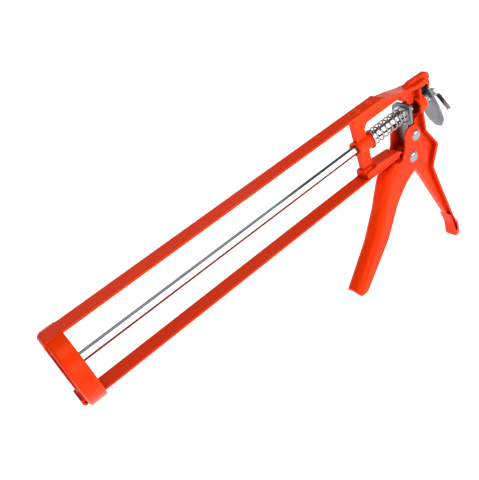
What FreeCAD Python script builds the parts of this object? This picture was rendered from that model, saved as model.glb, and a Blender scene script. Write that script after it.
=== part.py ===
import FreeCAD, Part
import math
import os

# Skeleton-frame caulking gun, in millimetres.
# X runs along the plunger rod, from the nozzle to the handle. Z is up and Y is across the gun.
# The origin is the centre of the nozzle slot in the front plate, on the rod's axis.

# --- Driving dimensions -------------------------------------------------------------------------

RAIL_WIDTH = 12.8           # flat steel rails above and below the cartridge
RAIL_THICK = 1.5
RAIL_OUT = 27.5             # rod axis to the rail's outer face
RAIL_IN = RAIL_OUT - RAIL_THICK

PLATE_HALF = RAIL_THICK / 2  # the top rail's folded front plate is centred on X = 0
PLATE_RADIUS = 15.5
NOZZLE_SLOT = 8.5
FRONT_BEND = 3.2
HOOK_TOP = -21.7
HOOK_GAP = 0.1
PLATE_TAIL = -24.5

CUP_FRONT = PLATE_HALF      # the cup's front wall lies flat against the plate
CUP_OUT = 27.5
CUP_THICK = 1.5
CUP_DEPTH = 12.0
CUP_FOLD = 2.2
CUP_SLOT = 9.5
CUP_FLAT_HALF = 8.2         # flats pressed into the cup's band for the rails
CUP_SIDE_GAP = 0.1

HANDLE_X = 261.25           # front face of the handle casting; its outlines start from here
BAR_START = 1.8
BAR_END = 11.8
WEB_HALF = 2.3
FLANGE_HALF = RAIL_WIDTH / 2
BOTTOM_FLANGE_HALF = 6.1    # narrow enough to pass between the trigger's cheeks
PIVOT_BOSS_HALF = 6.2
PIVOT_BOSS_RADIUS = 8.0
PAD_HALF = 3.8
HORN_HALF = 2.6
GRIP_TOP_HALF = 6.8         # the grip narrows evenly from its top to its tip
GRIP_TIP_HALF = 5.2
GRIP_TOP = 15.0
GRIP_TIP = -150.0
WINDOW_TOP = 15.6
GUIDE_RADIUS = 6.2
GUIDE_LENGTH = 15.0
REAR_BOSS_START = 68.6
REAR_BOSS_END = 76.5
REAR_BOSS_RADIUS = 8.5
REAR_MOUTH_RADIUS = 6.6
REAR_MOUTH_DEPTH = 3.8
CAST_ROUND = 0.7            # rounding of the casting's smaller edges
GRIP_ROUND = 1.1            # rounding of the grip's outer edges

ROD_FLATS = 6.0             # hexagonal plunger rod, across its flats
ROD_BORE = 3.56
ROD_BEND = 6.0
ROD_TAIL_ANGLE = 38.0       # the bent tail, from straight down towards -Y
ROD_TAIL_LENGTH = 19.5
ROD_TAIL_X = HANDLE_X + 98.0

DISC_RADIUS = 22.0
DISC_THICK = 1.6
DISC_X = 8.2
DISC_RIM = 4.2
SPIGOT_RADIUS = 2.9

PIVOT = (51.0, -35.1)       # trigger pivot and pusher, from HANDLE_X and from the rod axis
PUSHER = (58.0, -18.8)
CHEEK_IN = 6.5
CHEEK_OUT = 8.0
TRIGGER_ROUND = 6.0
RIVET_HEAD = 4.75
RIVET_DOME = 2.2
PIVOT_PIN = 3.0
PUSHER_PIN = 2.2
PUSHER_SLEEVE = 3.0

DRIVE_X = 55.35
DRIVE_TILT = 6.0
DRIVE_THICK = 2.5
DRIVE_HOLE = 3.9
RELEASE_X = 84.6
RELEASE_TILT = 19.5
RELEASE_THICK = 2.0
RELEASE_HOLE = 4.9

SPRING_WIRE = 1.2
SPRING_MEAN = 6.2
SPRING_COILS = 6.5
WASHER_THICK = 1.0
RUN_GAP = 0.15              # gap between flat faces of parts that move on each other

X_AXIS = FreeCAD.Vector(1, 0, 0)
Y_AXIS = FreeCAD.Vector(0, 1, 0)
Z_AXIS = FreeCAD.Vector(0, 0, 1)
ORIGIN = FreeCAD.Vector(0, 0, 0)


# --- Helpers ------------------------------------------------------------------------------------

def rounded_wire(corners):
    """Closed XZ wire through (x, z, radius) corners, each rounded by a tangent arc."""
    points = [FreeCAD.Vector(x, 0, z) for x, z, _ in corners]
    starts, ends, mids = [], [], []
    for i, (_, _, radius) in enumerate(corners):
        here = points[i]
        back = (points[i - 1] - here).normalize()
        ahead = (points[(i + 1) % len(points)] - here).normalize()
        half = back.getAngle(ahead) / 2
        if radius <= 0:
            starts.append(here)
            ends.append(here)
            mids.append(None)
            continue
        run = radius / math.tan(half)
        bisector = (back + ahead).normalize()
        starts.append(here + back * run)
        ends.append(here + ahead * run)
        mids.append(here + bisector * (radius / math.sin(half) - radius))
    edges = []
    for i in range(len(points)):
        if mids[i] is not None:
            edges.append(Part.Arc(starts[i], mids[i], ends[i]).toShape())
        following = starts[(i + 1) % len(points)]
        side = points[(i + 1) % len(points)] - points[i]
        gap = (following - ends[i]).dot(side.normalize())
        if gap < -1e-6:
            raise ValueError("roundings overlap after corner " + str(corners[i]))
        if gap > 1e-6:
            edges.append(Part.LineSegment(ends[i], following).toShape())
    return Part.Wire(edges)


def slab(corners, y_low, y_high):
    """Solid with a rounded XZ outline between two Y planes."""
    face = Part.Face(rounded_wire(corners))
    solid = face.extrude(FreeCAD.Vector(0, y_high - y_low, 0))
    solid.translate(FreeCAD.Vector(0, y_low, 0))
    return solid


def soft_slab(corners, y_low, y_high, radius, soft_faces):
    """Slab whose edges in the Y planes listed in soft_faces are rounded."""
    body = slab(corners, y_low, y_high)
    edges = [e for e in body.Edges if min(abs(e.BoundBox.YMin - y) + abs(e.BoundBox.YMax - y)
                                          for y in soft_faces) < 0.01]
    return body.makeFillet(radius, edges)


def box(x_low, x_high, y_low, y_high, z_low, z_high):
    low = FreeCAD.Vector(x_low, y_low, z_low)
    return Part.makeBox(x_high - x_low, y_high - y_low, z_high - z_low, low)


def rod_x(radius, x_low, x_high):
    """Round bar along the rod axis."""
    return Part.makeCylinder(radius, x_high - x_low, FreeCAD.Vector(x_low, 0, 0), X_AXIS)


def tube_x(outer, inner, x_low, x_high):
    return rod_x(outer, x_low, x_high).cut(rod_x(inner, x_low - 1, x_high + 1))


def rod_y(radius, x, z, y_low, y_high):
    """Round bar across the gun."""
    return Part.makeCylinder(radius, y_high - y_low, FreeCAD.Vector(x, y_low, z), Y_AXIS)


def turned(profile, centre, axis):
    """Solid of revolution of a closed polygon of points."""
    wire = Part.makePolygon(profile + [profile[0]])
    return Part.Face(wire).revolve(centre, axis, 360)


def dome(radius, height, base, direction):
    """Shallow rivet head standing on a base point along a direction."""
    sphere_radius = (radius * radius + height * height) / (2 * height)
    centre = base - direction * (sphere_radius - height)
    ball = Part.makeSphere(sphere_radius, centre)
    keep = Part.makeCylinder(radius + 1, height + 1, base, direction)
    return ball.common(keep)


def hexagon(flats, x):
    """Hexagonal face square to X, with flats on top and bottom."""
    side = flats / math.sqrt(3)
    points = []
    for step in range(7):
        angle = math.radians(60 * step)
        points.append(FreeCAD.Vector(x, side * math.cos(angle), side * math.sin(angle)))
    return Part.Face(Part.makePolygon(points))


def helix_spring(mean_start, mean_end, wire_radius, x_low, x_high, coils):
    """Open-ended coil spring along X, cylindrical or conical."""
    start = x_low + wire_radius
    height = x_high - x_low - 2 * wire_radius
    pitch = height / coils
    cone = math.degrees(math.atan2(mean_end - mean_start, height))
    path = Part.makeLongHelix(pitch, height, mean_start, cone)
    first = path.Edges[0]
    at = first.valueAt(first.FirstParameter)
    along = first.tangentAt(first.FirstParameter)
    ring = Part.Wire(Part.makeCircle(wire_radius, at, along))
    coil = Part.Wire(path.Edges).makePipeShell([ring], True, True)
    coil.rotate(ORIGIN, Y_AXIS, 90)
    coil.translate(FreeCAD.Vector(start, 0, 0))
    return coil


def tilted(shape, degrees, x):
    """Place a plate, drawn about the rod axis and square to it, at x and at its own tilt."""
    copy = shape.copy()
    copy.rotate(ORIGIN, Y_AXIS, degrees)
    copy.translate(FreeCAD.Vector(x, 0, 0))
    return copy


def plate_from(corners, thick):
    """Plate square to X from rounded (y, z, radius) corners, centred on X = 0."""
    plate = slab(corners, -thick / 2, thick / 2)
    plate.rotate(ORIGIN, Z_AXIS, -90)
    return plate


def export(name, shape):
    solids = shape.removeSplitter()
    solids.exportStep("parts/" + name + ".step")
    print(name, len(solids.Solids), solids.isValid(), round(solids.Volume))


# --- Rails and cup ------------------------------------------------------------------------------

def make_top_rail():
    """Upper rail, folded down over the cup into a front plate with an open nozzle slot."""
    outer = FRONT_BEND
    inner = FRONT_BEND - RAIL_THICK
    rear = HANDLE_X + 33.0
    strip = slab([
        (-PLATE_HALF, RAIL_OUT, outer),
        (rear, RAIL_OUT, 0),
        (rear, RAIL_IN, 0),
        (PLATE_HALF, RAIL_IN, inner),
        (PLATE_HALF, PLATE_TAIL, 0),
        (-PLATE_HALF, PLATE_TAIL, 0),
    ], -RAIL_WIDTH / 2, RAIL_WIDTH / 2)
    rail = strip.fuse(rod_x(PLATE_RADIUS, -PLATE_HALF, PLATE_HALF))
    slot = rod_x(NOZZLE_SLOT, -PLATE_HALF - 1, PLATE_HALF + 1)
    mouth = box(-PLATE_HALF - 1, PLATE_HALF + 1, 0, PLATE_RADIUS + 2, -NOZZLE_SLOT, NOZZLE_SLOT)
    rail = rail.cut(slot.fuse(mouth))
    for offset in TOP_RIVETS:
        rail = rail.cut(rivet_hole(offset, RAIL_IN - 1, RAIL_OUT + 1))
    return rail


def make_bottom_rail():
    """Lower rail, with its end turned up in front of the plate as a hook."""
    hook_out = -PLATE_HALF - HOOK_GAP - RAIL_THICK
    hook_in = hook_out + RAIL_THICK
    rear = HANDLE_X + 37.5
    rail = slab([
        (hook_out, -RAIL_OUT, 2.3),
        (rear, -RAIL_OUT, 0),
        (rear, -RAIL_IN, 0),
        (hook_in, -RAIL_IN, 0.8),
        (hook_in, HOOK_TOP, 0),
        (hook_out, HOOK_TOP, 0),
    ], -RAIL_WIDTH / 2, RAIL_WIDTH / 2)
    for offset in BOTTOM_RIVETS:
        rail = rail.cut(rivet_hole(offset, -RAIL_OUT - 1, -RAIL_IN + 1))
    return rail


def make_front_cup():
    """Pressed cup that holds the cartridge's nose, with a nozzle slot open to one side."""
    rear = CUP_FRONT + CUP_DEPTH
    fold_in = CUP_FOLD - CUP_THICK
    outer = rod_x(CUP_OUT, CUP_FRONT, rear)
    front_edge = [e for e in outer.Edges if abs(e.CenterOfMass.x - CUP_FRONT) < 0.01]
    outer = outer.makeFillet(CUP_FOLD, front_edge)
    inner = rod_x(CUP_OUT - CUP_THICK, CUP_FRONT + CUP_THICK, rear + 5)
    inner_edge = [e for e in inner.Edges if abs(e.CenterOfMass.x - CUP_FRONT - CUP_THICK) < 0.01]
    inner = inner.makeFillet(fold_in, inner_edge)
    cup = outer.cut(inner)
    slot = rod_x(CUP_SLOT, CUP_FRONT - 1, CUP_FRONT + CUP_FOLD + 1)
    mouth = box(CUP_FRONT - 1, rear + 1, 0, CUP_OUT + 2, -CUP_SLOT, CUP_SLOT)
    shelf_in = RAIL_IN - CUP_THICK
    for side in (-1, 1):
        low, high = sorted((side * shelf_in, side * RAIL_IN))
        cup = cup.fuse(box(CUP_FRONT, rear, -CUP_FLAT_HALF, CUP_FLAT_HALF, low, high))
    cup = cup.common(outer).cut(slot.fuse(mouth))
    half = RAIL_WIDTH / 2 + CUP_SIDE_GAP
    for side in (-1, 1):
        low, high = sorted((side * RAIL_IN, side * (RAIL_IN + 5)))
        cup = cup.cut(box(CUP_FRONT - 1, rear + 1, -half, half, low, high))
    return cup.cut(make_top_rail())


# --- Rivets that hold the rails to the casting --------------------------------------------------

TOP_RIVETS = (9.4, 22.4)
BOTTOM_RIVETS = (5.0, 34.0)
POST_RADIUS = 2.2
POST_GAP = 0.02
POST_DEPTH = 4.5
HEAD_RADIUS = 3.0
HEAD_DOME = 1.4


def rivet_hole(offset, z_low, z_high):
    low = FreeCAD.Vector(HANDLE_X + offset, 0, z_low)
    return Part.makeCylinder(POST_RADIUS + POST_GAP, z_high - z_low, low, Z_AXIS)


def make_rail_rivets(offsets, side):
    """Round-headed posts through a rail and into the casting; side is +1 on top, -1 below."""
    up = Z_AXIS * side
    rivets = []
    for offset in offsets:
        face = FreeCAD.Vector(HANDLE_X + offset, 0, side * RAIL_OUT)
        shank_start = face - up * (RAIL_THICK + POST_DEPTH)
        shank = Part.makeCylinder(POST_RADIUS, RAIL_THICK + POST_DEPTH, shank_start, up)
        rivets.append(shank.fuse(dome(HEAD_RADIUS, HEAD_DOME, face, up)))
    return Part.makeCompound(rivets)


# --- Handle casting -----------------------------------------------------------------------------
# Outlines are (x, z, corner radius), with x from HANDLE_X and z from the rod axis.

GRIP = [
    (53.0, -43.0, 3), (43.6, -38.2, 5), (40.0, -26.5, 2), (62.0, -6.0, 0), (66.0, 14.5, 0),
    (73.7, 14.5, 0), (72.9, -22.6, 5), (84.9, -42.2, 2.5), (74.8, -59.4, 8), (80.5, -82.5, 60),
    (91.0, -124.0, 30), (95.8, -134.5, 8), (96.2, -148.2, 3.8), (88.0, -148.2, 4.0),
    (88.2, -132.0, 9), (84.4, -118.4, 0.8), (62.6, -63.2, 30),
]
GRIP_POCKET = [             # ahead of the rear flange, and down into the looped tip
    (30.0, 18.0, 0), (71.2, 18.0, 0), (70.4, -21.9, 5), (81.6, -40.6, 2.4), (72.2, -58.6, 8),
    (77.6, -80.8, 60), (88.4, -123.0, 30), (93.2, -135.6, 6), (93.3, -142.0, 1.3),
    (90.2, -142.0, 1.3), (89.6, -133.0, 9), (86.4, -120.0, 0.9), (79.0, -112.8, 0),
    (60.0, -112.8, 0), (30.0, -60.0, 0),
]
PIVOT_PAD = [
    (43.5, -36.0, 4), (45.5, -28.0, 3), (60.0, -26.0, 4), (68.0, -34.0, 8), (73.5, -43.5, 4),
    (69.6, -54.0, 2), (58.6, -43.2, 5), (50.0, -44.5, 4),
]
TOP_FLANGE = [
    (0.6, RAIL_IN, 0), (33.5, RAIL_IN, 0.5), (46.5, 23.5, 20), (59.5, 20.1, 20), (71.5, 18.0, 12),
    (81.8, 18.7, 1.2), (84.4, 16.4, 1.0), (84.2, 11.0, 0.6), (82.4, 11.0, 0.6), (81.6, 14.4, 1.0),
    (76.0, 14.2, 3), (67.0, 15.8, 6), (46.2, 19.8, 20), (33.5, 22.9, 15), (0.6, 22.9, 0),
]
TOP_WEB = [
    (BAR_START + 1, 24.5, 0), (33.5, 24.5, 0), (46.5, 21.3, 0), (66.0, 17.6, 0), (72.0, 16.0, 0),
    (72.0, 4.6, 0), (60.9, 4.6, 1.2), (59.6, 10.8, 1.2), (56.0, 11.2, 1.2),
    (54.8, WINDOW_TOP, 1.2),
    (15.0, WINDOW_TOP, 3), (11.8, 12.0, 6), (11.0, 9.0, 0), (BAR_START + 1, 9.0, 0),
]
HORN = [
    (60.0, 17.0, 0), (65.0, 22.0, 12), (88.8, 21.2, 3.8), (90.6, 14.6, 1.6), (84.0, 14.0, 2),
    (80.0, 15.2, 0),
]
WINDOW = [
    (30.0, -21.4, 0), (37.5, -22.2, 4), (43.4, -26.8, 3), (55.0, -26.8, 4), (63.0, -24.5, 4),
    (64.6, -9.0, 1.5), (REAR_BOSS_START, -8.8, 0.5), (REAR_BOSS_START, 4.6, 0), (30.0, 4.6, 0),
]
BOTTOM_FLANGE = [
    (1.0, -21.0, 0.6), (10.4, -21.0, 2), (12.6, -19.8, 2), (37.2, -22.2, 4), (43.0, -26.0, 3),
    (46.0, -30.0, 0), (40.0, -RAIL_IN, 0), (1.0, -RAIL_IN, 0),
]
RIVET_PAD = [(0.2, -18.6, 1), (8.6, -18.6, 1.5), (10.0, -22.0, 0), (0.2, -22.0, 0)]
RIVET_PAD_HALF = 4.2


def make_front_frame():
    """The casting's front bar, rod guide and lower rail seat."""
    bar = slab([
        (BAR_START, RAIL_IN - 1, 0), (BAR_END, RAIL_IN - 1, 0), (BAR_END, -RAIL_IN + 1, 0),
        (BAR_START, -RAIL_IN + 1, 0),
    ], -WEB_HALF, WEB_HALF)
    bottom = slab(BOTTOM_FLANGE, -BOTTOM_FLANGE_HALF, BOTTOM_FLANGE_HALF)
    pad_half = RIVET_PAD_HALF
    pad = soft_slab(RIVET_PAD, -pad_half, pad_half, CAST_ROUND, (-pad_half, pad_half))
    guide = rod_x(GUIDE_RADIUS, 0.0, GUIDE_LENGTH)
    return bar.fuse([bottom, pad, guide])


def grip_half_at(height):
    """Half the grip's width at a height: it narrows evenly from top to tip."""
    share = (GRIP_TOP - height) / (GRIP_TOP - GRIP_TIP)
    return GRIP_TOP_HALF + (GRIP_TIP_HALF - GRIP_TOP_HALF) * share


def make_grip():
    """Grip with a flange along its back, looped round the tip, and a thin web inside it."""
    body = slab(GRIP, -GRIP_TOP_HALF - 1, GRIP_TOP_HALF + 1)
    corners = []
    for side, height in ((-1, GRIP_TIP), (1, GRIP_TIP), (1, GRIP_TOP), (-1, GRIP_TOP)):
        corners.append(FreeCAD.Vector(0, side * grip_half_at(height), height))
    wedge = Part.Face(Part.makePolygon(corners + corners[:1])).extrude(X_AXIS * 200)
    body = body.common(wedge)
    edges = []
    for edge in body.Edges:
        middle = edge.valueAt((edge.FirstParameter + edge.LastParameter) / 2)
        on_side = abs(abs(middle.y) - grip_half_at(middle.z)) < 0.01
        if on_side and middle.z < -60.0:
            edges.append(edge)
    body = body.makeFillet(GRIP_ROUND, edges)
    for side in (-1, 1):
        low, high = sorted((side * WEB_HALF, side * (GRIP_TOP_HALF + 1)))
        body = body.cut(slab(GRIP_POCKET, low, high))
    return body


def make_handle_casting():
    """One casting: front bar, rail seats, horn, rear boss, pivot boss and grip."""
    casting = make_front_frame().fuse([
        make_grip(),
        slab(PIVOT_PAD, -PAD_HALF, PAD_HALF),
        slab(TOP_FLANGE, -FLANGE_HALF, FLANGE_HALF),
        slab(TOP_WEB, -WEB_HALF, WEB_HALF),
        soft_slab(HORN, -HORN_HALF, HORN_HALF, CAST_ROUND, (-HORN_HALF, HORN_HALF)),
    ])
    casting = casting.cut(slab(WINDOW, -GRIP_TOP_HALF - 1, GRIP_TOP_HALF + 1))
    boss_half = PIVOT_BOSS_HALF
    casting = casting.fuse([
        rod_x(REAR_BOSS_RADIUS, REAR_BOSS_START, REAR_BOSS_END),
        rod_y(PIVOT_BOSS_RADIUS, PIVOT[0], PIVOT[1], -boss_half, boss_half),
    ])
    casting = casting.cut([
        rod_x(REAR_MOUTH_RADIUS, REAR_BOSS_START - 1, REAR_BOSS_START + REAR_MOUTH_DEPTH),
        rod_x(ROD_BORE, -5, REAR_BOSS_END + 5),
        rod_y(PIVOT_PIN + 0.05, PIVOT[0], PIVOT[1], -10, 10),
    ])
    casting.translate(FreeCAD.Vector(HANDLE_X, 0, 0))
    holes = [rivet_hole(o, RAIL_IN - POST_DEPTH, RAIL_IN + 1) for o in TOP_RIVETS]
    holes += [rivet_hole(o, -RAIL_IN - 1, -RAIL_IN + POST_DEPTH) for o in BOTTOM_RIVETS]
    return casting.cut(holes)


# --- Plunger ------------------------------------------------------------------------------------

def make_plunger_rod():
    """Hexagonal rod with a riveted front spigot and a hand pull bent down at the rear."""
    shoulder = DISC_X + DISC_THICK + 2 * RUN_GAP + WASHER_THICK
    head_back = DISC_X - RUN_GAP - WASHER_THICK
    head = dome(4.6, 1.4, FreeCAD.Vector(head_back, 0, 0), -X_AXIS)
    spigot = rod_x(SPIGOT_RADIUS, head_back - 0.01, shoulder + 1)
    bend_x = ROD_TAIL_X - ROD_BEND
    straight = hexagon(ROD_FLATS, shoulder).extrude(FreeCAD.Vector(bend_x - shoulder, 0, 0))
    angle = math.radians(ROD_TAIL_ANGLE)
    down = FreeCAD.Vector(0, -math.sin(angle), -math.cos(angle))
    centre = FreeCAD.Vector(bend_x, 0, 0) + down * ROD_BEND
    hinge = X_AXIS.cross(down)
    bend = hexagon(ROD_FLATS, bend_x).revolve(centre, hinge, 90)
    end = hexagon(ROD_FLATS, bend_x)
    end.rotate(centre, hinge, 90)
    tail = end.extrude(down * (ROD_TAIL_LENGTH - ROD_BEND))
    return straight.fuse([spigot, head, bend, tail])


def make_plunger_disc():
    """Dished disc that pushes the cartridge's piston, free to turn on the rod."""
    x0, x1, x2 = DISC_X, DISC_X + DISC_THICK, DISC_X + DISC_RIM
    r0, r1, r2 = SPIGOT_RADIUS + 0.1, DISC_RADIUS - DISC_THICK, DISC_RADIUS
    profile = [(x0, r0), (x0, r2 - 1.2), (x0 + 1.2, r2), (x2, r2), (x2, r1), (x1, r1), (x1, r0)]
    points = [FreeCAD.Vector(x, r, 0) for x, r in profile]
    return turned(points, ORIGIN, X_AXIS)


# --- Trigger ------------------------------------------------------------------------------------

FOLD_OUTLINE = [            # the folded front from high in the cheeks to past the tip, then behind
    (60.0, -8.4, 0), (18.4, -38.6, 12), (5.2, -62.0, 45), (-10.9, -84.8, 60), (-49.0, -124.5, 0),
    (-5.8, -165.9, 0), (120.0, -120.0, 0), (83.5, -40.8, 0),
]
TRIGGER_SIDE = [            # what is kept of the folded sheet, seen from the side
    (30.0, -30.2, 0), (37.4, -32.0, 4), (43.6, -23.4, 9), (47.4, -8.8, 6.2), (59.0, -8.6, 6.2),
    (64.6, -18.4, 7), (59.4, -36.0, 10), (50.2, -46.8, 12), (38.0, -52.2, 26), (24.0, -63.6, 45),
    (4.9, -89.0, 70), (-30.5, -120.5, 6), (-44.6, -120.0, 4.2), (-36.4, -110.8, 0),
    (-60.0, -110.0, 0), (-20.0, -20.0, 0),
]
CHEEK_START = 37.5          # ahead of this the front is folded, behind it the cheeks are flat


def folded_blank(inset, round_radius):
    """Solid behind the folded front, with the front's two long edges rounded."""
    half = CHEEK_OUT - inset
    outline = rounded_wire(FOLD_OUTLINE)
    if inset:
        outline = outline.makeOffset2D(-inset)
    body = Part.Face(outline).extrude(FreeCAD.Vector(0, 2 * half, 0))
    body.translate(FreeCAD.Vector(0, -half, 0))
    edges = []
    for edge in body.Edges:
        middle = edge.valueAt((edge.FirstParameter + edge.LastParameter) / 2)
        ahead = FreeCAD.Vector(middle.x - 0.3, middle.y * 0.8, middle.z + 0.25)
        behind = FreeCAD.Vector(middle.x + 0.3, middle.y * 0.8, middle.z - 0.25)
        along = edge.BoundBox.YLength < 0.1 and middle.z > -123.0
        if along and body.isInside(behind, 1e-4, True) and not body.isInside(ahead, 1e-4, True):
            edges.append(edge)
    return body.makeFillet(round_radius, edges)


def make_trigger():
    """Folded sheet-metal channel: rounded front, open back, and two cheeks round the casting."""
    wall = CHEEK_OUT - CHEEK_IN
    shell = folded_blank(0, TRIGGER_ROUND).cut(folded_blank(wall, TRIGGER_ROUND - wall))
    front_part = box(-100, CHEEK_START, -10, 10, -140, 0)
    rear_part = box(CHEEK_START, 100, -10, 10, -140, 0)
    trigger = shell.common(slab(TRIGGER_SIDE, -10, 10)).common(front_part)
    near = slab(TRIGGER_SIDE, -CHEEK_OUT, -CHEEK_IN).common(rear_part)
    far = slab(TRIGGER_SIDE, CHEEK_IN, CHEEK_OUT).common(rear_part)
    trigger = trigger.fuse([near, far]).cut([
        rod_y(PIVOT_PIN + 0.02, PIVOT[0], PIVOT[1], -10, 10),
        rod_y(PUSHER_PIN + 0.02, PUSHER[0], PUSHER[1], -10, 10),
    ])
    trigger.translate(FreeCAD.Vector(HANDLE_X, 0, 0))
    return trigger


def make_cheek_rivet(place, pin_radius):
    """Round-headed rivet across the trigger's cheeks."""
    x, z = HANDLE_X + place[0], place[1]
    pin = rod_y(pin_radius, x, z, -CHEEK_OUT, CHEEK_OUT)
    near = dome(RIVET_HEAD, RIVET_DOME, FreeCAD.Vector(x, -CHEEK_OUT, z), -Y_AXIS)
    far = dome(RIVET_HEAD, RIVET_DOME * 0.7, FreeCAD.Vector(x, CHEEK_OUT, z), Y_AXIS)
    return pin.fuse([near, far])


def make_pusher_sleeve():
    """Spacer on the pusher pin that keeps the cheeks apart and bears on the drive plate."""
    x, z = HANDLE_X + PUSHER[0], PUSHER[1]
    reach = CHEEK_IN - 0.02
    outer = rod_y(PUSHER_SLEEVE, x, z, -reach, reach)
    return outer.cut(rod_y(PUSHER_PIN + 0.02, x, z, -reach - 1, reach + 1))


# --- Plates, springs and washers ----------------------------------------------------------------

def make_drive_plate():
    """Tilted grip plate: a wide rounded head and a tongue down to the pusher."""
    plate = plate_from([
        (-9.0, 9.6, 5), (9.0, 9.6, 5), (9.0, -7.4, 2), (5.8, -7.4, 0.8), (5.6, -22.3, 5),
        (-5.6, -22.3, 5), (-5.8, -7.4, 0.8), (-9.0, -7.4, 2),
    ], DRIVE_THICK)
    return tilted(plate.cut(rod_x(DRIVE_HOLE, -8, 8)), DRIVE_TILT, HANDLE_X + DRIVE_X)


def make_spring_washer():
    """Washer between the main spring and the drive plate, lying flat on the plate."""
    front = -DRIVE_THICK / 2 - 0.02
    washer = tube_x(7.6, 3.9, front - WASHER_THICK, front)
    return tilted(washer, DRIVE_TILT, HANDLE_X + DRIVE_X)


def make_release_plate():
    """Long tilted plate that locks the rod and is pressed by the thumb to free it."""
    plate = plate_from([
        (-8.4, 12.6, 2.5), (8.4, 12.6, 2.5), (8.7, -8.5, 30), (8.0, -20.0, 20), (7.2, -26.5, 5),
        (3.2, -33.8, 2.5), (-3.2, -33.8, 2.5), (-7.2, -26.5, 5), (-8.0, -20.0, 20),
        (-8.7, -8.5, 30),
    ], RELEASE_THICK)
    plate = plate.cut(rod_x(RELEASE_HOLE, -5, 5))
    return tilted(plate, -RELEASE_TILT, HANDLE_X + RELEASE_X)


def make_main_spring(x_low, x_high):
    return helix_spring(SPRING_MEAN, SPRING_MEAN, SPRING_WIRE / 2, x_low, x_high, SPRING_COILS)


def make_release_spring(x_low, x_high):
    return helix_spring(6.6, 5.4, 0.45, x_low, x_high, 3.0)


# --- Build --------------------------------------------------------------------------------------

def main():
    os.makedirs("parts", exist_ok=True)
    export("top_rail", make_top_rail())
    export("bottom_rail", make_bottom_rail())
    export("front_cup", make_front_cup())
    export("handle_casting", make_handle_casting())
    export("top_rail_rivets", make_rail_rivets(TOP_RIVETS, 1))
    export("bottom_rail_rivets", make_rail_rivets(BOTTOM_RIVETS, -1))

    export("plunger_rod", make_plunger_rod())
    export("plunger_disc", make_plunger_disc())
    front_washer = DISC_X - RUN_GAP - WASHER_THICK
    export("plunger_front_washer",
           tube_x(7.5, SPIGOT_RADIUS + 0.02, front_washer, front_washer + WASHER_THICK))
    rear_washer = DISC_X + DISC_THICK + RUN_GAP
    export("plunger_rear_washer",
           tube_x(9.0, SPIGOT_RADIUS + 0.02, rear_washer, rear_washer + WASHER_THICK))

    export("trigger", make_trigger())
    export("trigger_pivot_rivet", make_cheek_rivet(PIVOT, PIVOT_PIN))
    export("pusher_rivet", make_cheek_rivet(PUSHER, PUSHER_PIN))
    export("pusher_sleeve", make_pusher_sleeve())

    guide_end = HANDLE_X + GUIDE_LENGTH
    export("guide_washer", tube_x(7.4, 3.8, guide_end, guide_end + WASHER_THICK))
    spring_low = guide_end + WASHER_THICK
    spring_high = HANDLE_X + DRIVE_X - 3.4
    export("main_spring", make_main_spring(spring_low, spring_high))
    export("spring_washer", make_spring_washer())
    export("drive_plate", make_drive_plate())

    boss_end = HANDLE_X + REAR_BOSS_END
    export("release_washer", tube_x(8.0, 3.8, boss_end, boss_end + WASHER_THICK))
    export("release_spring", make_release_spring(boss_end + WASHER_THICK, boss_end + 4.9))
    export("release_plate", make_release_plate())


main()
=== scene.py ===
import math

import bmesh
import bpy
from mathutils import Matrix, Vector


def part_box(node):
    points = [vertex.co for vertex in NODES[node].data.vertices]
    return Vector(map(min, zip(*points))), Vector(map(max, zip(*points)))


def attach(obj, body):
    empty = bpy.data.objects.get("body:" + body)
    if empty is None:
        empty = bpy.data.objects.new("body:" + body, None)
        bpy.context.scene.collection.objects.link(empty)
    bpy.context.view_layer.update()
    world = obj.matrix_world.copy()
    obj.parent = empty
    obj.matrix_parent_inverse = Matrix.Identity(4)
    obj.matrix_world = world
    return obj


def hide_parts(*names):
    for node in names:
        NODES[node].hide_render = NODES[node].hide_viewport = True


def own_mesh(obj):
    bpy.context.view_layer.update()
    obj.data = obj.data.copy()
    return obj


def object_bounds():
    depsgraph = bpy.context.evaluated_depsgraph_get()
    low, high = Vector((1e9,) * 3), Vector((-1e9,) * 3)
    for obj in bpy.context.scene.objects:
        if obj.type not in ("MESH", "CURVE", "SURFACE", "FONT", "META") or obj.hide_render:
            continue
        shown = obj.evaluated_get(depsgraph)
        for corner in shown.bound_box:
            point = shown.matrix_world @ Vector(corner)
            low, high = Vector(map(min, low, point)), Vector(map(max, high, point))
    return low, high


# Looks for the skeleton-frame caulking gun. Everything is in metres, in the CAD's own frame:
# +X runs along the plunger rod towards the handle, +Z is up, and -Y is the side seen first.

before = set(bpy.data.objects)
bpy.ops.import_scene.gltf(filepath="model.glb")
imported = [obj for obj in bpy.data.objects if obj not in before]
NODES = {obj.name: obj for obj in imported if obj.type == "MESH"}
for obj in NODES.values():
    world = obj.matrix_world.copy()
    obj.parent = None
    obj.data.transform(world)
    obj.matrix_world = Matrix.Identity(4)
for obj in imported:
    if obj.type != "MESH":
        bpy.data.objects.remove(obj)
cad_low, cad_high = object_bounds()
MM = 0.001

# --- Node helpers -------------------------------------------------------------------------------


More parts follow.
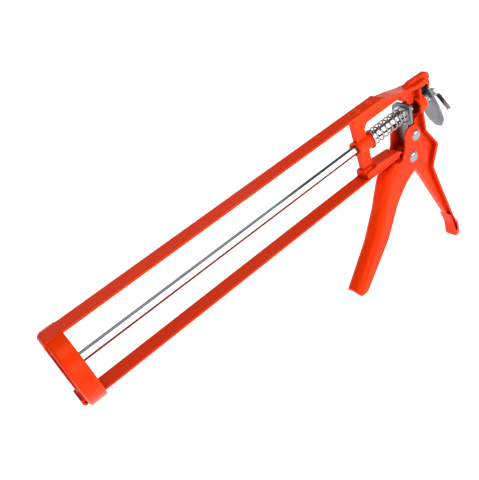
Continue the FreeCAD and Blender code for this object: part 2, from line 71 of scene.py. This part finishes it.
class Shader:
    """A material being built: short calls that add nodes and link them."""

    def __init__(self, name):
        self.material = bpy.data.materials.new(name)
        self.material.use_nodes = True
        self.tree = self.material.node_tree
        self.principled = self.tree.nodes["Principled BSDF"]
        self.place = self.node("ShaderNodeTexCoord").outputs["Object"]

    def node(self, kind, **settings):
        made = self.tree.nodes.new(kind)
        for key, value in settings.items():
            setattr(made, key, value)
        return made

    def link(self, output, target):
        self.tree.links.new(output, target)

    def set(self, **values):
        for key, value in values.items():
            self.principled.inputs[key.replace("_", " ")].default_value = value

    def stretched(self, scale):
        """Object coordinates, scaled along each axis."""
        mapping = self.node("ShaderNodeMapping")
        mapping.inputs["Scale"].default_value = scale
        self.link(self.place, mapping.inputs["Vector"])
        return mapping.outputs["Vector"]

    def noise(self, scale, detail=3.0, roughness=0.5, vector=None):
        texture = self.node("ShaderNodeTexNoise")
        texture.inputs["Scale"].default_value = scale
        texture.inputs["Detail"].default_value = detail
        texture.inputs["Roughness"].default_value = roughness
        self.link(vector if vector is not None else self.place, texture.inputs["Vector"])
        return texture.outputs["Fac"]

    def ramp(self, factor, stops):
        """Colour ramp through (position, colour) stops."""
        ramp = self.node("ShaderNodeValToRGB")
        elements = ramp.color_ramp.elements
        while len(elements) < len(stops):
            elements.new(0.5)
        for element, (position, colour) in zip(elements, stops):
            element.position = position
            element.color = (*colour, 1.0)
        self.link(factor, ramp.inputs["Fac"])
        return ramp.outputs["Color"]

    def span(self, factor, low, high, from_low=0.0, from_high=1.0):
        """Map a factor's range from_low to from_high on to low to high."""
        mapped = self.node("ShaderNodeMapRange")
        for key, value in (("From Min", from_low), ("From Max", from_high),
                           ("To Min", low), ("To Max", high)):
            mapped.inputs[key].default_value = value
        self.link(factor, mapped.inputs["Value"])
        return mapped.outputs["Result"]

    def mix(self, factor, first, second, blend="MIX"):
        mixed = self.node("ShaderNodeMix", data_type="RGBA", blend_type=blend)
        if isinstance(factor, float):
            mixed.inputs[0].default_value = factor
        else:
            self.link(factor, mixed.inputs[0])
        for socket, value in ((mixed.inputs[6], first), (mixed.inputs[7], second)):
            if isinstance(value, tuple):
                socket.default_value = (*value, 1.0)
            else:
                self.link(value, socket)
        return mixed.outputs[2]

    def worn_edges(self, radius):
        """1 on sharp outer edges and 0 on flats, from the difference a rounded normal makes."""
        bevel = self.node("ShaderNodeBevel", samples=EDGE_SAMPLES)
        bevel.inputs["Radius"].default_value = radius
        geometry = self.node("ShaderNodeNewGeometry")
        dot = self.node("ShaderNodeVectorMath", operation="DOT_PRODUCT")
        self.link(bevel.outputs["Normal"], dot.inputs[0])
        self.link(geometry.outputs["Normal"], dot.inputs[1])
        return self.span(dot.outputs["Value"], 1.0, 0.0, 0.82, 0.995)

    def bump(self, heights, edge_radius):
        """Bumps from (height, strength, distance) layers over a normal rounded at the edges."""
        bevel = self.node("ShaderNodeBevel", samples=EDGE_SAMPLES)
        bevel.inputs["Radius"].default_value = edge_radius
        normal = bevel.outputs["Normal"]
        for height, strength, distance in heights:
            bump = self.node("ShaderNodeBump")
            bump.inputs["Strength"].default_value = strength
            bump.inputs["Distance"].default_value = distance
            self.link(height, bump.inputs["Height"])
            self.link(normal, bump.inputs["Normal"])
            normal = bump.outputs["Normal"]
        self.link(normal, self.principled.inputs["Normal"])


# --- Materials ----------------------------------------------------------------------------------

EDGE_SAMPLES = 4            # bevel rays behind worn edges and rounded normals
SHADE_SAMPLES = 6
SHADE_REACH = 9.0 * MM    # how far nearby walls reach when painting shade into a crevice
WEAR_RADIUS = 0.5 * MM
PAINT_EDGE_RADIUS = 0.45 * MM
STEEL_EDGE_RADIUS = 0.25 * MM

PAINT = (0.97, 0.046, 0.001)
PAINT_DEEP = (0.92, 0.025, 0.0005)
# painted shade: the dark red that stands in for shadow in crevices and recesses, not a colour of
# the enamel
PAINT_SHADE = (0.30, 0.002, 0.0)
PAINT_EDGE = (0.96, 0.11, 0.012)


def orange_paint(name, grain_strength, roughness):
    """Gloss enamel with orange peel, thinner on edges, and with shade painted darker into crevices
    and recesses.
    """
    s = Shader(name)
    drift = s.noise(18.0, 2.0)
    body = s.mix(s.span(drift, 0.0, 0.6, 0.35, 0.7), PAINT, PAINT_DEEP)
    edges = s.worn_edges(WEAR_RADIUS)
    patchy = s.node("ShaderNodeMath", operation="MULTIPLY")
    s.link(edges, patchy.inputs[0])
    s.link(s.span(s.noise(900.0, 2.0), 0.0, 0.5, 0.35, 0.65), patchy.inputs[1])
    # Painted shade: ambient occlusion darkens the paint colour towards dark red wherever nearby
    # walls enclose a surface.
    occlusion = s.node("ShaderNodeAmbientOcclusion", samples=SHADE_SAMPLES)
    occlusion.inputs["Distance"].default_value = SHADE_REACH
    painted_shade = s.span(occlusion.outputs["AO"], 0.9, 0.0, 0.25, 0.85)
    body = s.mix(painted_shade, body, PAINT_SHADE)
    s.link(s.mix(patchy.outputs["Value"], body, PAINT_EDGE), s.principled.inputs["Base Color"])
    smudges = s.span(s.noise(140.0, 3.0), roughness - 0.05, roughness + 0.07)
    s.link(smudges, s.principled.inputs["Roughness"])
    s.set(IOR=1.5, Specular_IOR_Level=0.22, Specular_Tint=(1.0, 0.55, 0.32, 1.0))
    peel = s.noise(420.0, 2.0)
    grain = s.noise(1500.0, 3.0)
    s.bump([(peel, 0.10, 0.10 * MM), (grain, grain_strength, 0.05 * MM)], PAINT_EDGE_RADIUS)
    return s.material


def steel(name, colour, dark, roughness, stretch, scratch, edge_radius):
    """Zinc-plated or bright steel, with faint drawn or rolled lines and dull patches."""
    s = Shader(name)
    lines = s.noise(900.0, 4.0, 0.6, s.stretched(stretch))
    clouds = s.noise(60.0, 3.0)
    tint = s.mix(s.span(clouds, 0.0, 0.7, 0.35, 0.7), colour, dark)
    fine = s.ramp(lines, [(0.3, (0.86, 0.86, 0.86)), (0.7, (1.0, 1.0, 1.0))])
    s.link(s.mix(1.0, tint, fine, "MULTIPLY"), s.principled.inputs["Base Color"])
    s.set(Metallic=1.0)
    s.link(s.span(lines, roughness - 0.06, roughness + 0.10), s.principled.inputs["Roughness"])
    s.bump([(lines, scratch, 0.02 * MM), (clouds, 0.05, 0.10 * MM)], edge_radius)
    return s.material


FLOOR_GLOW = 0.78           # keeps the floor near white where the lights fall off


def floor_material():
    """Matt white studio floor with a little glow of its own."""
    s = Shader("studio_floor")
    faint = s.noise(3.0, 2.0)
    s.link(s.mix(faint, (0.90, 0.90, 0.90), (0.93, 0.93, 0.93)), s.principled.inputs["Base Color"])
    s.set(Roughness=0.9, Emission_Color=(1.0, 1.0, 1.0, 1.0), Emission_Strength=FLOOR_GLOW)
    return s.material


SHEET_PAINT = orange_paint("orange_paint_sheet", 0.03, 0.24)
CAST_PAINT = orange_paint("orange_paint_cast", 0.10, 0.28)
ROD_STEEL = steel("zinc_rod", (0.50, 0.51, 0.53), (0.42, 0.43, 0.46), 0.16,
                  (0.02, 0.5, 0.5), 0.02, STEEL_EDGE_RADIUS)
PLATE_STEEL = steel("rolled_plate", (0.26, 0.27, 0.30), (0.17, 0.18, 0.20), 0.30,
                    (1.0, 1.0, 0.10), 0.12, 0.35 * MM)
WASHER_STEEL = steel("zinc_washer", (0.70, 0.71, 0.72), (0.58, 0.58, 0.60), 0.22,
                     (1.0, 1.0, 1.0), 0.08, STEEL_EDGE_RADIUS)
RIVET_STEEL = steel("bright_rivet", (0.42, 0.42, 0.43), (0.30, 0.30, 0.32), 0.14,
                    (1.0, 1.0, 1.0), 0.05, 0.20 * MM)
SPRING_STEEL = steel("spring_wire", (0.48, 0.47, 0.46), (0.34, 0.33, 0.33), 0.14,
                     (1.0, 1.0, 1.0), 0.05, 0.10 * MM)

NODE_MATERIALS = {
    "top_rail": SHEET_PAINT,
    "bottom_rail": SHEET_PAINT,
    "front_cup": SHEET_PAINT,
    "trigger": SHEET_PAINT,
    "top_rail_rivets": SHEET_PAINT,
    "bottom_rail_rivets": SHEET_PAINT,
    "handle_casting": CAST_PAINT,
    "plunger_rod": ROD_STEEL,
    "plunger_disc": WASHER_STEEL,
    "plunger_front_washer": WASHER_STEEL,
    "plunger_rear_washer": WASHER_STEEL,
    "guide_washer": WASHER_STEEL,
    "spring_washer": WASHER_STEEL,
    "release_washer": WASHER_STEEL,
    "pusher_sleeve": WASHER_STEEL,
    "drive_plate": PLATE_STEEL,
    "release_plate": PLATE_STEEL,
    "trigger_pivot_rivet": RIVET_STEEL,
    "pusher_rivet": RIVET_STEEL,
}


def paint_nodes():
    """Give each CAD node that shows its own material."""
    for name, material in NODE_MATERIALS.items():
        node = NODES[name]
        node.data.materials.clear()
        node.data.materials.append(material)


# --- Springs ------------------------------------------------------------------------------------

RING_SIDES = 12
STEPS_PER_TURN = 40
CLOSED_PITCH = 1.02         # pitch of the closed end turns, in wire diameters
START_ANGLE = 0.6
WIRE_END_TAPER = 0.72
MAIN_WIRE = 1.25 * MM
MAIN_RADIUS = 6.15 * MM
RELEASE_WIRE = 0.9 * MM
RELEASE_RADII = (6.4 * MM, 5.6 * MM)


def coil_point(turn, turns, closed, x_low, x_high, radius_low, radius_high, wire):
    """Centre line of a compression spring whose end turns lie closed on each other."""
    active = turns - 2 * closed
    pitch = (x_high - x_low - wire - 2 * closed * wire * CLOSED_PITCH) / active
    reach = min(turn, closed) * wire * CLOSED_PITCH
    reach += max(0.0, min(turn - closed, active)) * pitch
    reach += max(0.0, turn - closed - active) * wire * CLOSED_PITCH
    share = reach / (x_high - x_low - wire)
    radius = radius_low + (radius_high - radius_low) * share
    angle = math.tau * turn + START_ANGLE
    return Vector((x_low + wire / 2 + reach, radius * math.cos(angle), radius * math.sin(angle)))


def coil_spring(name, turns, closed, x_low, x_high, radius_low, radius_high, wire):
    """Tube mesh swept along a spring's centre line, with rounded-off wire ends."""
    mesh = bmesh.new()
    count = int(turns * STEPS_PER_TURN)
    args = (turns, closed, x_low, x_high, radius_low, radius_high, wire)
    points = [coil_point(turns * i / count, *args) for i in range(count + 1)]
    rings = []
    for i, point in enumerate(points):
        along = (points[min(i + 1, count)] - points[max(i - 1, 0)]).normalized()
        outward = Vector((0, point.y, point.z)).normalized()
        side = along.cross(outward).normalized()
        outward = side.cross(along)
        ends = min(i, count - i)
        taper = WIRE_END_TAPER if ends == 0 else 1.0
        ring = []
        for k in range(RING_SIDES):
            angle = math.tau * k / RING_SIDES
            spoke = outward * math.cos(angle) + side * math.sin(angle)
            ring.append(mesh.verts.new(point + spoke * (wire / 2 * taper)))
        rings.append(ring)
    for first, second in zip(rings, rings[1:]):
        for k in range(RING_SIDES):
            j = (k + 1) % RING_SIDES
            mesh.faces.new((first[k], first[j], second[j], second[k]))
    mesh.faces.new(list(reversed(rings[0])))
    mesh.faces.new(rings[-1])
    bmesh.ops.recalc_face_normals(mesh, faces=mesh.faces)
    data = bpy.data.meshes.new(name)
    mesh.to_mesh(data)
    mesh.free()
    for polygon in data.polygons:
        polygon.use_smooth = len(polygon.vertices) == 4
    data.materials.append(SPRING_STEEL)
    spring = bpy.data.objects.new(name, data)
    bpy.context.scene.collection.objects.link(spring)
    return spring


def add_springs():
    low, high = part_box("main_spring")
    spring = coil_spring("main_coil_spring", 8.0, 1.0, low.x, high.x,
                         MAIN_RADIUS, MAIN_RADIUS, MAIN_WIRE)
    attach(spring, "frame")
    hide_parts("main_spring")
    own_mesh(spring)

    low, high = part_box("release_spring")
    spring = coil_spring("release_coil_spring", 4.0, 0.8, low.x, high.x,
                         *RELEASE_RADII, RELEASE_WIRE)
    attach(spring, "frame")
    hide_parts("release_spring")
    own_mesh(spring)


# --- Stage --------------------------------------------------------------------------------------

# The camera stands at the near front corner, above the rails, and is rolled so that the gun runs
# up across the frame.
CAMERA_PLACE = Vector((1.0, -302.9, 218.8)) * MM
CAMERA_RIGHT = Vector((0.7459, -0.5827, -0.3227))
CAMERA_UP = Vector((0.5650, 0.2970, 0.7698))
CAMERA_LENS = 43.54
SENSOR_WIDTH = 36.0
TARGET = Vector((0.20, 0.0, -0.03))


def add_camera():
    camera = bpy.data.cameras.new("camera")
    camera.sensor_width = SENSOR_WIDTH
    camera.sensor_fit = "HORIZONTAL"
    camera.lens = CAMERA_LENS
    camera.clip_start = 0.01
    camera.clip_end = 50.0
    right = CAMERA_RIGHT.normalized()
    up = (CAMERA_UP - right * CAMERA_UP.dot(right)).normalized()
    back = right.cross(up)
    placed = bpy.data.objects.new("camera", camera)
    turn = Matrix((right, up, back)).transposed().to_4x4()
    placed.matrix_world = Matrix.Translation(CAMERA_PLACE) @ turn
    bpy.context.scene.collection.objects.link(placed)
    bpy.context.scene.camera = placed


def add_area(name, place, size, power):
    light = bpy.data.lights.new(name, "AREA")
    light.shape = "RECTANGLE"
    light.size, light.size_y = size
    light.energy = power
    lamp = bpy.data.objects.new(name, light)
    lamp.location = place
    lamp.rotation_mode = "QUATERNION"
    lamp.rotation_quaternion = (TARGET - Vector(place)).to_track_quat("-Z", "Y")
    bpy.context.scene.collection.objects.link(lamp)


STAGE_SEGMENTS = 96
STAGE_PROFILE = [           # radius and height: flat, then curving up into a low rim
    (0.0, 0.0), (1.6, 0.0), (2.2, 0.03), (2.8, 0.14), (3.3, 0.38), (3.6, 0.8),
]


def add_stage():
    """Round floor with a low rim, which shows behind the gun only in level views."""
    floor_height = cad_low.z
    profile = STAGE_PROFILE
    mesh = bmesh.new()
    segments = STAGE_SEGMENTS
    rings = []
    for radius, height in profile:
        ring = []
        for k in range(segments):
            angle = math.tau * k / segments
            x = TARGET.x + radius * math.cos(angle)
            ring.append(mesh.verts.new((x, radius * math.sin(angle), floor_height + height)))
        rings.append(ring)
    for first, second in zip(rings, rings[1:]):
        for k in range(segments):
            j = (k + 1) % segments
            mesh.faces.new((first[k], first[j], second[j], second[k]))
    bmesh.ops.remove_doubles(mesh, verts=mesh.verts, dist=1e-5)
    bmesh.ops.recalc_face_normals(mesh, faces=mesh.faces)
    data = bpy.data.meshes.new("studio_floor")
    mesh.to_mesh(data)
    mesh.free()
    for polygon in data.polygons:
        polygon.use_smooth = True
    data.materials.append(floor_material())
    floor = bpy.data.objects.new("studio_floor", data)
    bpy.context.scene.collection.objects.link(floor)


SOFTBOXES = [               # name, place, size and power
    ("key_softbox", (0.60, -1.25, 0.56), (1.50, 0.60), 10.5),
    ("left_fill", (-0.70, -0.90, 0.60), (0.30, 0.30), 1.6),
    ("top_strip", (0.22, -0.02, 0.60), (0.9, 0.16), 1.4),
    ("back_strip", (0.30, 1.20, 0.75), (1.20, 0.50), 0.8),
]
WORLD_COLOUR = (0.80, 0.82, 0.85, 1.0)
WORLD_STRENGTH = 0.16


def add_lights():
    for name, place, size, power in SOFTBOXES:
        add_area(name, place, size, power)
    world = bpy.data.worlds.new("studio")
    world.use_nodes = True
    background = world.node_tree.nodes["Background"]
    background.inputs["Color"].default_value = WORLD_COLOUR
    background.inputs["Strength"].default_value = WORLD_STRENGTH
    bpy.context.scene.world = world
    bpy.context.scene.view_settings.view_transform = "Standard"
    bpy.context.scene.view_settings.look = "None"


paint_nodes()
add_springs()
add_camera()
add_stage()
add_lights()
